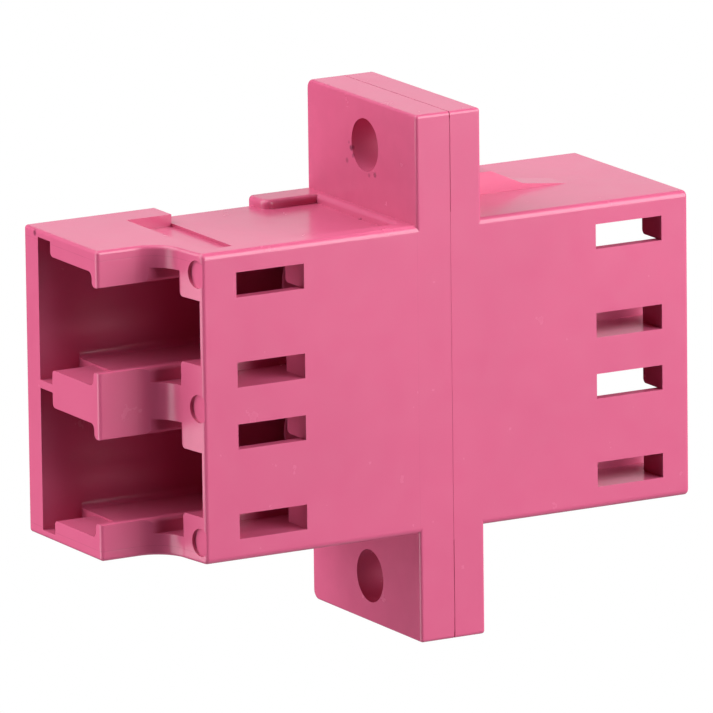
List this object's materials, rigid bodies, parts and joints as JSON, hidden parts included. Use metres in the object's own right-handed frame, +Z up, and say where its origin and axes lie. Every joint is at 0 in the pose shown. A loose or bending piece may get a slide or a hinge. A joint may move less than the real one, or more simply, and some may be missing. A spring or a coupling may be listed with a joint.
{
  "type": "lc fibre adapter",
  "caption": "Duplex LC fibre coupler with a screw flange: two welded housing halves, latch windows, and split sleeves that align the ferrules.",
  "frame": {"origin": "the middle of the plane on which the two housings are welded, halfway between the two ports and across the body", "axes": "+X toward the side with the latch windows; +Y along the plug axis toward the equipment side; +Z up along the flange, toward the upper ear"},
  "size_m": [0.009, 0.0259, 0.0218],
  "materials": {
    "housing": "glossy injection-moulded pink",
    "sleeve": "ground white zirconia ceramic"
  },
  "bodies": {
    "root": {"front_housing": "housing", "rear_housing": "housing", "upper_sleeve": "sleeve", "lower_sleeve": "sleeve"}
  },
  "joints": []
}
